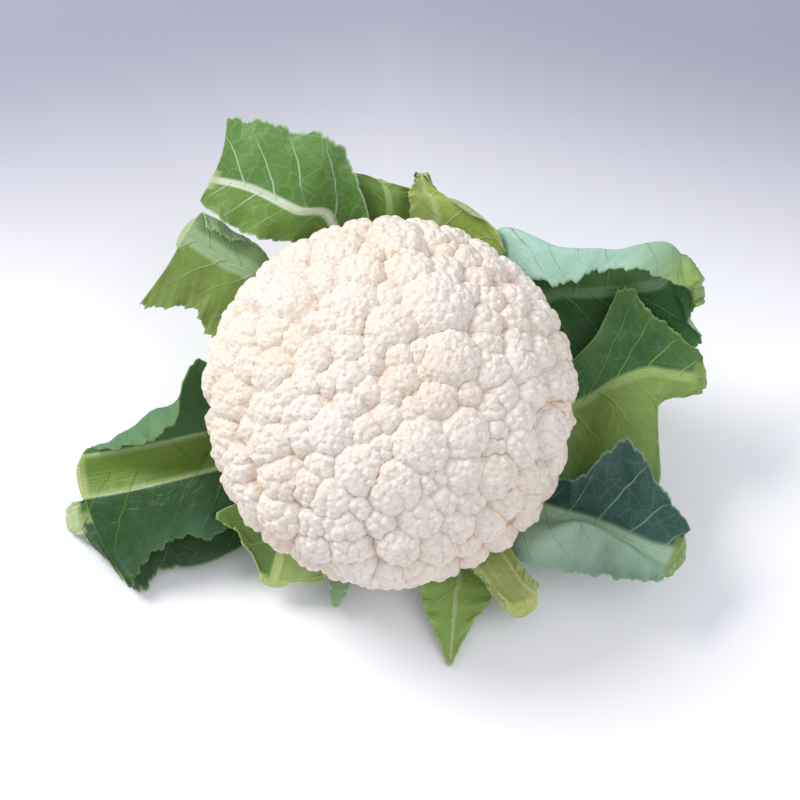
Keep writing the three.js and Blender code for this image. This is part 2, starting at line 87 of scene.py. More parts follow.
def signed_volume(points, quads):
    """Six times the tetrahedra between the origin and each face: above 0 when faces look out."""
    a, b, c, d = (points[quads[:, k]] for k in range(4))
    first = np.einsum("ij,ij->i", a, np.cross(b, c)).sum()
    return first + np.einsum("ij,ij->i", a, np.cross(c, d)).sum()


def make_piece(name, points, quads, fields, material, node):
    """A smooth mesh in metres from points in millimetres, riding on the fixed frame."""
    if signed_volume(points, quads) < 0:
        quads = quads[:, [1, 0, 3, 2]]
    quads = np.ascontiguousarray(quads, dtype=np.int32)
    mesh = bpy.data.meshes.new(name)
    mesh.vertices.add(len(points))
    mesh.vertices.foreach_set("co", (points * MILLIMETRE).astype(np.float32).ravel())
    triangles = quads[:, 3] == quads[:, 2]
    sizes = np.where(triangles, 3, 4).astype(np.int32)
    corners = quads.ravel()[np.repeat(~triangles, 4) | (np.arange(quads.size) % 4 < 3)]
    mesh.loops.add(len(corners))
    mesh.loops.foreach_set("vertex_index", corners)
    mesh.polygons.add(len(quads))
    starts = np.concatenate([[0], np.cumsum(sizes)[:-1]]).astype(np.int32)
    mesh.polygons.foreach_set("loop_start", starts)
    mesh.polygons.foreach_set("use_smooth", np.ones(len(quads), dtype=bool))
    mesh.update(calc_edges=True)
    for key, values in fields.items():
        kind, prop = ("FLOAT_VECTOR", "vector") if values.ndim == 2 else ("FLOAT", "value")
        layer = mesh.attributes.new(key, kind, "POINT")
        layer.data.foreach_set(prop, values.astype(np.float32).ravel())
    mesh.validate()
    mesh.materials.append(material)
    piece = bpy.data.objects.new(name, mesh)
    bpy.context.collection.objects.link(piece)
    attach(piece, "root")
    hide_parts(node)
    print(f"{name}: {len(points)} points, {int((sizes - 2).sum())} triangles")


def unit(v):
    """Vectors scaled to length one."""
    return v / np.maximum(np.linalg.norm(v, axis=-1, keepdims=True), 1e-12)


def smooth(low, high, x):
    """0 below low, 1 above high, and an S curve between them."""
    t = np.clip((x - low) / (high - low), 0, 1)
    return t * t * (3 - 2 * t)


# %% [markdown]
# ## Finishes as expressions
# Finishes are networks of nodes, and a network is hard to read as a list of links. Here a
# finish is written the way one would say it: `pale = 1 - near_rib * 0.5`. The first class
# wraps one socket of a material, and each operator adds the Math node that does the sum. The
# second one is the material, with a short method for each kind of node that the plant needs.

# %% Material helpers
class Amount:
    """One number that changes over a surface. Operators add Math nodes."""

    def __init__(self, finish, socket):
        self.finish, self.socket = finish, socket

    def sum_with(self, operation, *values):
        return self.finish.add("ShaderNodeMath", {"operation": operation},
                               dict(enumerate(values)))

    def __add__(self, other):
        return self.sum_with("ADD", self, other)

    def __sub__(self, other):
        return self.sum_with("SUBTRACT", self, other)

    def __mul__(self, other):
        return self.sum_with("MULTIPLY", self, other)

    def __truediv__(self, other):
        return self.sum_with("DIVIDE", self, other)

    def __rsub__(self, other):
        return self.sum_with("SUBTRACT", other, self)

    def __abs__(self):
        return self.sum_with("ABSOLUTE", self)

    __radd__ = __add__
    __rmul__ = __mul__

    def above(self, limit):
        return self.sum_with("GREATER_THAN", self, limit)

    def wrapped(self):
        """The part after the point, always from 0 to 1."""
        return self.sum_with("FRACT", self)

    def ramp(self, low, high):
        """0 at low, 1 at high, smooth between. low may be above high."""
        return self.finish.add("ShaderNodeMapRange", {"interpolation_type": "SMOOTHSTEP"},
                               {0: self, 1: low, 2: high, 3: 0, 4: 1})


class Finish:
    """A material that is built from nodes, ending in one Principled surface."""

    def __init__(self, name, roughness=0.5, **constants):
        self.material = bpy.data.materials.new(name)
        self.material.use_nodes = True
        self.tree = self.material.node_tree
        self.tree.nodes.clear()
        self.surface = self.tree.nodes.new("ShaderNodeBsdfPrincipled")
        out = self.tree.nodes.new("ShaderNodeOutputMaterial")
        self.tree.links.new(self.surface.outputs[0], out.inputs[0])
        self.surface.inputs["Roughness"].default_value = roughness
        for key, value in constants.items():
            self.surface.inputs[key.replace("_", " ")].default_value = value

    def add(self, kind, settings=None, values=None, out=0):
        """Any node: its settings first, then its sockets, and one output comes back."""
        node = self.tree.nodes.new(kind)
        for key, value in (settings or {}).items():
            setattr(node, key, value)
        for key, value in (values or {}).items():
            if isinstance(value, Amount):
                self.tree.links.new(value.socket, node.inputs[key])
            else:
                node.inputs[key].default_value = value
        return Amount(self, node.outputs[out])

    def field(self, name):
        """A number that the mesh carries at each point."""
        return self.add("ShaderNodeAttribute", {"attribute_name": name}, out=2)

    def place(self, name):
        """The three parts of a vector that the mesh carries at each point."""
        whole = self.add("ShaderNodeAttribute", {"attribute_name": name}, out=1)
        return [self.add("ShaderNodeSeparateXYZ", None, {0: whole}, out=k) for k in range(3)]

    def here(self):
        """Where a point lies in the object's own metres."""
        return self.add("ShaderNodeTexCoord", out=3)

    def vector(self, x, y, z):
        return self.add("ShaderNodeCombineXYZ", None, {0: x, 1: y, 2: z})

    def noise(self, scale, detail=2, vector=None):
        return self.add("ShaderNodeTexNoise", None,
                        {"Vector": vector or self.here(), "Scale": scale, "Detail": detail})

    def cells(self, scale, feature, vector=None):
        return self.add("ShaderNodeTexVoronoi", {"feature": feature},
                        {"Vector": vector or self.here(), "Scale": scale})

    def mix(self, amount, first, second):
        """first where amount is 0, second where it is 1."""
        return self.add("ShaderNodeMix", {"data_type": "RGBA"},
                        {0: amount, 6: first, 7: second}, out=2)

    def colour(self, value):
        self.tree.links.new(value.socket, self.surface.inputs["Base Color"])

    def roughness(self, value):
        self.tree.links.new(value.socket, self.surface.inputs["Roughness"])

    def bump(self, height, distance):
        normal = self.add("ShaderNodeBump", None,
                          {"Height": height, "Distance": distance, "Strength": 1.0})
        self.tree.links.new(normal.socket, self.surface.inputs["Normal"])


def paint(red, green, blue):
    """A paint colour from the 0 to 255 numbers of a colour picker, as linear light."""
    def linear(c):
        c = c / 255
        return c / 12.92 if c <= 0.04045 else ((c + 0.055) / 1.055) ** 2.4
    return (linear(red), linear(green), linear(blue), 1.0)


# %% [markdown]
# ## The curd
# The white part is a mass of flower buds in three sizes: main florets that are separated by
# thin brownish crevices, knobs on each floret, and the grain of each knob. Thousands of balls
# would give that too, but most of their faces would lie hidden inside. So the curd is one
# closed surface that rises and falls, and the grain, finer than the mesh, is a bump.
#
# The main florets were placed with a millimetre grid over the photograph, so that the large
# crevices run as on the real head. A row gives how far a floret lies to the right and up as the
# viewer sees the head, and its radius, in millimetres. The back of the head and the rim's lower
# edge, which the viewer can't see, get regular rings of them.

# %% Main florets
CURD_CENTRE = np.array([0.0, 3.0, 75.0])
CURD_RADIUS, CURD_HEIGHT = 75.5, 47.0
DOME = np.array([CURD_RADIUS, CURD_RADIUS, CURD_HEIGHT])
UNDERSIDE = np.array([[77, -9], [70, -18], [57, -27], [44, -33], [30, -37]], float)
VIEW_TURN = math.radians(14)      # between the head's axis and the line of sight
ON_DOME = 0.925                   # florets stand proud, so they are seen further out
FLORETS = [
    (3, 73, 11), (-24, 68, 10), (-42, 66, 9), (-45, 57, 7), (-57, 50, 8), (-66, 29, 9),
    (-74, 16, 8), (-72, 1, 9), (-63, 16, 7), (-46, 46, 11), (-30, 54, 8), (-52, 31, 7.5),
    (-41, 27, 6), (-34, 34, 4), (-28, 35, 5), (-25, 44, 5), (-16, 44, 9), (-18, 34, 6),
    (-13, 57, 8.5), (-9, 66, 6), (0, 46, 6), (1, 33, 9), (-18, 23, 6), (-26, 26, 4.5),
    (-34, 19, 7), (-52, 13, 8.5), (-19, 11, 6.5), (-9, 16, 4), (-7, 23, 4), (-37, 8, 6),
    (-28, 8, 4.5), (-45, 4, 6), (20, 74, 8), (7, 66, 6), (10, 58, 9), (25, 59, 6.5),
    (26, 69, 5), (35, 65, 6), (46, 62, 6), (40, 56, 5), (21, 43, 13), (46, 45, 5.5),
    (36, 48, 4.5), (43, 35, 6.5), (56, 36, 6), (57, 46, 6), (68, 36, 6), (57, 26, 6),
    (68, 21, 6.5), (43, 25, 6), (27, 18, 11), (14, 21, 5), (5, 20, 5), (7, 10, 5.5),
    (16, 12, 4), (45, 13, 8), (58, 15, 8), (63, 4, 7), (50, 3, 7), (76, 6, 7.5),
    (35, 3, 5.5), (21, 0, 7.5), (0, 3, 5), (-10, 4, 5), (10, -5, 5), (0, -8, 5.5),
    (-54, -5, 7.5), (-36, -4, 6.5), (-45, -7, 5), (-74, -16, 8), (-62, -13, 5.5),
    (-53, -19, 9), (-38, -16, 6.5), (-26, -14, 9), (-18, -3, 5.5), (-68, -29, 8),
    (-48, -34, 9), (-36, -38, 7), (-30, -29, 6), (-63, -43, 7.5), (-49, -51, 9.5),
    (-25, -43, 8.5), (-34, -54, 6.5), (-21, -55, 8), (-33, -65, 7.5), (-18, -66, 8),
    (-14, -75, 9), (-12, -31, 10), (-13, -46, 6), (-4, -54, 6), (-10, -14, 6), (-4, -21, 6),
    (2, -38, 10.5), (14, -20, 10.5), (33, -15, 9.5), (15, -35, 6), (22, -33, 5),
    (33, -32, 8), (47, -33, 9), (23, -45, 6), (14, -51, 8.5), (35, -45, 6), (30, -56, 7.5),
    (44, -55, 7.5), (52, -45, 7.5), (61, -36, 6), (67, -37, 6), (63, -45, 5.5),
    (46, -3, 6), (46, -14, 5.5), (46, -22, 5.5), (58, -21, 8), (57, -7, 7), (73, -14, 9),
    (77, -3, 6), (75, -28, 6.5), (5, -65, 8.5), (21, -65, 8.5), (12, -76, 9), (0, -78, 10),
    (34, -64, 6),
]
BACK_RING, RIM_RING = 17, 32      # florets in the rings behind and under the rim
BACK_SIZE, RIM_SIZE = 8.0, 7.0    # and their radii


def random_numbers(seed):
    """Repeatable random numbers: each is 16807 times the last, modulo 2147483647."""
    state = seed
    while True:
        state = state * 16807 % 2147483647
        yield state / 2147483647


def seen_on_dome(right, up):
    """Where lines of sight meet the dome: the larger root of the ellipsoid's quadratic."""
    c, s = math.cos(VIEW_TURN), math.sin(VIEW_TURN)
    start = np.stack([right, up * c, up * s], -1)
    sight = np.array([0, -s, c])
    shape = 1 / DOME ** 2
    p, q = (sight ** 2 * shape).sum(), (start * sight * shape).sum(-1)
    t = (-q + np.sqrt(np.maximum(0, q * q - p * ((start ** 2 * shape).sum(-1) - 1)))) / p
    return start + t[:, None] * sight


def wavy_ring(turn, radius, level, sway, waves):
    """Points round the axis at one radius, with heights that sway about a level as a sine."""
    return np.stack([radius * np.cos(turn), radius * np.sin(turn),
                     level + sway * np.sin(waves * turn)], -1)


def floret_spots():
    """Middles of the main florets on the dome and their radii, with rings at the rim."""
    right, up, radius = np.array(FLORETS, float).T
    seen = seen_on_dome(right * ON_DOME, up * ON_DOME)
    start = 0.1
    turn = np.linspace(start, math.pi - start, BACK_RING)
    back = wavy_ring(turn, radius=75, level=5, sway=3, waves=5)
    turn = np.arange(RIM_RING) * 2 * math.pi / RIM_RING + start
    below = wavy_ring(turn, radius=76, level=-12, sway=2, waves=7)
    sizes = np.concatenate([radius, np.full(BACK_RING, BACK_SIZE), np.full(RIM_RING, RIM_SIZE)])
    return np.vstack([seen, back, below]), sizes


floret_points, floret_radii = floret_spots()
print("florets", len(floret_points), "radii", floret_radii.min(), "to", floret_radii.max())

# %% [markdown]
# The knobs lie on a spiral that turns by the golden angle from one to the next, as buds do on
# the plant. It spaces them evenly without rows, and a little chance takes away the rest of
# its order. Each knob belongs to the floret whose cap is highest there.

# %% Knobs
KNOBS = 3000                      # over the whole dome
GOLDEN = 2.39996                  # golden angle in radians
SPIRAL_DEPTH = 1.35               # ends under the rim: 1 would end at it
TURN_JITTER = 20                  # how much more chance there is in the turn than in the height


def spiral_over_dome(count, seed, jitter, crowding):
    """A golden-angle spiral over the dome and under its rim, closer together at the crown."""
    random = random_numbers(seed)
    noise = np.array([next(random) for _ in range(2 * count)]).reshape(2, count) - 0.5
    k = np.arange(count)
    z = 1 - SPIRAL_DEPTH * ((k + 0.5) / count) ** crowding + jitter * noise[0]
    turn = k * GOLDEN + jitter * TURN_JITTER * noise[1]
    r = np.sqrt(np.clip(1 - z * z, 0, 1))
    d = np.stack([r * np.cos(turn), r * np.sin(turn), z], -1)
    return d * DOME


# %% [markdown]
# A floret is a low round cap, and the knobs on it are smaller, rounder caps. The florets are
# raised one after the other and the higher one always shows, so the crevice between two of
# them winds round their knobs, as between real ones.

# %% Relief of the curd
FLORET_SHAPE = (0.58, 1.22)       # height of a cap over its radius, and its foot's reach
KNOB_SHAPE = (0.66, 1.08)
FOOT, FALL = 0.98, 1.2            # a cap is round out to its foot and falls straight beyond
KNOB_PULL = 0.92                  # knobs are drawn this near to their floret's middle
SMALLEST_KNOB, KNOB_SPREAD = 1.5, 1.0
LONE_KNOB = 2.5                   # radius of the knob on a floret that got none
FIELD, FIELD_EDGE = 1.5, 3        # a floret is worked out this many radii out, and this more
DEEPEST = -1.5                    # floor of the widest gaps
FLORET_CREASE, KNOB_CREASE = 1.5, 0.6         # depths at which a crease has ended


def caps(points, spots, radius, shape):
    """Highest cap at each point, its owner, and how far it stands clear of the next cap."""
    squash, reach = shape
    d = np.linalg.norm(points[:, None] - spots[None], axis=-1) / radius
    inside = np.minimum(FOOT, d / reach)
    beyond = np.maximum(0, d - reach * FOOT)
    height = squash * radius * (np.sqrt(1 - inside ** 2) - FALL * beyond)
    owner = height.argmax(1)
    if height.shape[1] == 1:
        return height[:, 0], owner, np.ones(len(points))
    pair = np.partition(height, -2, axis=1)[:, -2:]
    return pair[:, 1], owner, pair[:, 1] - pair[:, 0]


knob_points = spiral_over_dome(KNOBS, seed=31, jitter=0.004, crowding=1.2)
knob_owner = caps(knob_points, floret_points, floret_radii, FLORET_SHAPE)[1]
from_middle = knob_points - floret_points[knob_owner]
knob_points = floret_points[knob_owner] + KNOB_PULL * from_middle
size_random = random_numbers(5)
knob_radii = np.array([SMALLEST_KNOB + KNOB_SPREAD * next(size_random) for _ in knob_points])
print("knobs", KNOBS, "on", len(set(knob_owner)), "florets")


def relief(points):
    """Rise over the dome, and how clear each point is of floret and knob creases."""
    best = np.full(len(points), DEEPEST)
    second = best.copy()
    knob_clear = np.zeros(len(points))
    for k, (middle, radius) in enumerate(zip(floret_points, floret_radii)):
        away = np.linalg.norm(points - middle, axis=-1)
        near = np.nonzero(away < FIELD * radius + FIELD_EDGE)[0]
        if len(near) == 0:
            continue
        base = caps(points[near], floret_points[k:k + 1], radius, FLORET_SHAPE)[0]
        mine = np.nonzero(knob_owner == k)[0]
        spots = knob_points[mine] if len(mine) else floret_points[k:k + 1]
        sizes = knob_radii[mine] if len(mine) else np.array([LONE_KNOB])
        knob, _, clear = caps(points[near], spots, sizes, KNOB_SHAPE)
        rise = base + np.maximum(knob, 0)
        higher = rise > best[near]
        second[near] = np.where(higher, best[near], np.maximum(second[near], rise))
        best[near] = np.maximum(best[near], rise)
        knob_clear[near[higher]] = clear[higher]
    return best, smooth(0, FLORET_CREASE, best - second), smooth(0, KNOB_CREASE, knob_clear)


# %% [markdown]
# A square sheet of points is bent into a disc and laid over the dome, so there is no pole
# where points crowd together. The underside goes on from the rim in rings and ends on the
# seat of the stem.

# %% Curd surface
CURD_STEPS, UNDER_STEPS = 290, 12
RIM_CROWDING = 0.2                # how far the disc's points are drawn in toward the crown
SUNK = 0.4                        # the feet of the caps lie this far under the dome
FADE_FROM, FADE_TO = -12, -32     # heights between which the underside turns smooth
RISE_UNIT = 10                    # the finish reads the rise in centimetres


def dome_directions(steps):
    """A square grid bent into a disc, whose radius is then the angle from the crown."""
    side = np.linspace(-1, 1, steps + 1)
    a, b = np.meshgrid(side, side, indexing="ij")
    x, y = a * np.sqrt(1 - b * b / 2), b * np.sqrt(1 - a * a / 2)
    r = np.maximum(np.hypot(x, y), 1e-9)
    polar = math.pi / 2 * ((1 - RIM_CROWDING) * r + RIM_CROWDING * r * r)
    d = np.stack([x / r * np.sin(polar), y / r * np.sin(polar), np.cos(polar)], -1)
    return d.reshape(-1, 3)


def curd_surface():
    """Points, quads and crevice fields of the closed curd, in the head's own frame."""
    d = dome_directions(CURD_STEPS)
    dome = d * DOME
    out = unit(d / DOME)
    rise, main, buds = relief(dome)
    points = [dome + out * (rise - SUNK)[:, None]]
    fields = [np.stack([main, buds, rise / RISE_UNIT], -1)]
    quads = [grid_quads(CURD_STEPS + 1, CURD_STEPS + 1)]
    ids = np.arange((CURD_STEPS + 1) ** 2).reshape(CURD_STEPS + 1, CURD_STEPS + 1)
    ring = np.concatenate([ids[:-1, 0], ids[-1, :-1], ids[:0:-1, -1], ids[0, :0:-1]])
    turn = np.arctan2(points[0][ring, 1], points[0][ring, 0])
    profile = np.vstack([[CURD_RADIUS, 0], UNDERSIDE])
    steps = np.linspace(0, len(profile) - 1, UNDER_STEPS + 1)[1:]
    count, total = len(ring), len(points[0])
    for s in steps:
        radius = np.interp(s, np.arange(len(profile)), profile[:, 0])
        height = np.interp(s, np.arange(len(profile)), profile[:, 1])
        base = np.stack([radius * np.cos(turn), radius * np.sin(turn),
                         np.full(count, height)], -1)
        rise, main, buds = relief(base)
        fade = 1 - smooth(FADE_FROM, FADE_TO, height)
        outward = unit(base * np.array([1, 1, 1.2]))
        points.append(base + outward * ((rise - SUNK) * (0.45 + 0.55 * fade) * fade)[:, None])
        fields.append(np.stack([main * fade, buds, rise * fade / RISE_UNIT], -1))
        ring_next = total + np.arange(count)
        total += count
        quads.append(np.stack([ring, ring_next, np.roll(ring_next, -1), np.roll(ring, -1)], -1))
        ring = ring_next
    points.append(np.array([[0, 0, UNDERSIDE[-1, 1]]]))
    fields.append(np.array([[0.3, 0.3, 0.3]]))
    hub = np.full(count, total)
    quads.append(np.stack([ring, hub, np.roll(ring, -1), np.roll(ring, -1)], -1))
    return np.vstack(points), np.vstack(quads), np.vstack(fields)


def lean_over(points):
    """From the head's own frame to the table's: a turn about X by the lean."""
    c, s = math.cos(LEAN), math.sin(LEAN)
    x, y, z = points.T
    return np.stack([x, y * c - z * s, y * s + z * c], -1)


curd_points, curd_quads, curd_fields = curd_surface()
print("curd surface", curd_points.shape, "highest", round(float(curd_points[:, 2].max()), 1),
      "widest", round(float(np.hypot(curd_points[:, 0], curd_points[:, 1]).max()), 1))


# %% [markdown]
# ### Finish of the curd
# Raw buds are matt and creamy. Light goes a few millimetres in, so a little subsurface light
# softens the knobs. Every floret crevice gets painted shade, darkened further by a brown stain
# in places; the creases between knobs and the low ground between caps get painted shade too,
# and small cells give each knob its grain, with painted shade in the gaps between grains. A
# painted picture would need a seam somewhere, so the crevice shade and the stains follow the
# creases that the mesh carries at its points, broken up by a slow noise.

# %% Curd finish
def curd_finish():
    f = Finish("curd buds", 0.6, Subsurface_Weight=0.3, Subsurface_Scale=0.003,
               Specular_IOR_Level=0.3)
    f.surface.inputs["Subsurface Radius"].default_value = (1.0, 0.7, 0.45)
    floret, knob, rise = f.place("relief")
    buds = f.cells(560, "SMOOTH_F1")
    # patches where the brown stain and the painted shade in the creases are stronger
    stain_and_shade_patches = f.noise(45, 3).ramp(0.45, 0.7)
    # painted shade in every floret crevice, with a brown stain on top in the patches
    crevice_shade_and_stain = (1 - floret.ramp(0.0, 0.5)) * (0.45 + stain_and_shade_patches * 0.5)
    # painted shade in the creases between knobs, stronger in the patches
    groove_shade = (1 - knob.ramp(0.0, 0.8)) * (0.2 + stain_and_shade_patches * 0.2)
    shade = f.mix(f.noise(28, 3).ramp(0.35, 0.75), paint(240, 233, 224), paint(236, 225, 210))
    shade = f.mix(f.noise(11, 2).ramp(0.52, 0.8) * 0.5, shade, paint(232, 210, 180))
    # painted shade in the gaps between the grains
    shade = f.mix(buds.ramp(0.3, 0.7) * 0.2, shade, paint(216, 192, 164))
    shade = f.mix(groove_shade, shade, paint(214, 182, 148))
    # painted shade where the surface lies low between the caps
    shade = f.mix(rise.ramp(0.35, 0.0) * 0.2, shade, paint(214, 176, 146))
    shade = f.mix(crevice_shade_and_stain, shade, paint(190, 142, 106))
    f.colour(shade)
    f.bump((1 - buds) + f.noise(1500, 2) * 0.25, 0.0011)
    return f.material


make_piece("curd_buds", lean_over(curd_points + CURD_CENTRE), curd_quads,
           {"relief": curd_fields}, curd_finish(), "curd")

# %% [markdown]
# ## The stem
# The stalk is round, level at its cut and square to the leaning head at the top. A cylinder
# could be bent with a modifier, but rings of points that tilt step by step, like a lathe
# whose axis bends, say it directly. Scars of removed leaves dent its side.

# %% Stem surface
STEM_RADII = [24, 23.6, 23.7, 24.2, 25.2, 26.2, 27]
STEM_TOP = 37.6


def stem_surface(levels=60, sides=140):
    """Rings that tilt step by step from level to the head's lean, closed at both ends."""
    t = np.linspace(0, 1, levels)[:, None]
    turn = np.linspace(0, 2 * math.pi, sides, endpoint=False)[None]
    radius = np.interp(t, np.linspace(0, 1, len(STEM_RADII)), STEM_RADII)
    scar = 1 - 0.02 * np.abs(np.sin(4 * turn + 9 * t)) - 0.006 * np.sin(23 * turn)
    edge = 1 - 0.05 * (1 - smooth(0, 0.05, t))
    r = radius * scar * edge
    tilt = LEAN * t
    x = r * np.cos(turn)
    y = r * np.sin(turn) * np.cos(tilt) - STEM_TOP * t * math.sin(LEAN)
    z = r * np.sin(turn) * np.sin(tilt) + STEM_TOP * t * math.cos(LEAN)
    points = np.stack([x, y, z], -1).reshape(-1, 3)
    cut = np.repeat(1 - smooth(0, 0.03, t[:, 0]), sides)
    quads = []
    for i in range(levels - 1):
        a = i * sides + np.arange(sides)
        quads.append(np.stack([a, np.roll(a, -1), np.roll(a, -1) + sides, a + sides], -1))
    foot, top = len(points), len(points) + 1
    first, last = np.arange(sides), (levels - 1) * sides + np.arange(sides)
    quads.append(np.stack([np.roll(first, -1), first, np.full(sides, foot),
                           np.full(sides, foot)], -1))
    quads.append(np.stack([last, np.roll(last, -1), np.full(sides, top),
                           np.full(sides, top)], -1))
    ends = np.array([[0, 0, 0], [0, -STEM_TOP * math.sin(LEAN), STEM_TOP * math.cos(LEAN)]])
    return np.vstack([points, ends]), np.vstack(quads), np.concatenate([cut, [1, 0]])


def stem_finish():
    f = Finish("stem rind", 0.45)
    cut = f.field("cut")
    streak = f.noise(60, 4).ramp(0.3, 0.7)
    rind = f.mix(streak, paint(186, 200, 132), paint(212, 216, 170))
    f.colour(f.mix(cut, rind, paint(233, 230, 205)))
    f.bump(f.noise(300, 3), 0.0004)
    return f.material


stem_points, stem_quads, stem_cut = stem_surface()
make_piece("stem_stalk", stem_points, stem_quads, {"cut": stem_cut}, stem_finish(), "stem")

# %% [markdown]
# ## The leaves
# Each leaf is a smooth sheet through a small net of points. A root row, near the stem, holds
# x, y, z and half the width of the leaf. A net row holds five points across the leaf: its left
# margin, the middle of its left half, its rib, the middle of its right half and its right
# margin. Such a point is written as it is seen: how far right and up of the middle of the view
# it lies, and its height over the table, which the eye can judge from the overlaps. A net can
# lie flat, stand up or roll over, which a flat outline that is bent later can't do so freely.
#
# rib holds the rib's half width and thickness at the root and at the end, wave the height,
# number and phase of the ripples. left and right cut lobes into the margins along the leaf.
# crest raises or hollows the rib's upper face, and slant slopes the cut end.

# %% Leaf nets
FACING = np.array([0.0, -30.0, 170.0])        # the roots' upper faces look toward this point
SHEET = 0.4                                   # half the thickness of a blade
EYE = np.array([4.3, -517.7, 938.9])          # the camera's place, in millimetres
PLANE_MIDDLE = np.array([0.0, -18.4, 72.5])   # of the upright plane that the viewer faces
UP_THE_PLANE = np.array([0.0, math.sin(LOOK_DOWN), math.cos(LOOK_DOWN)])

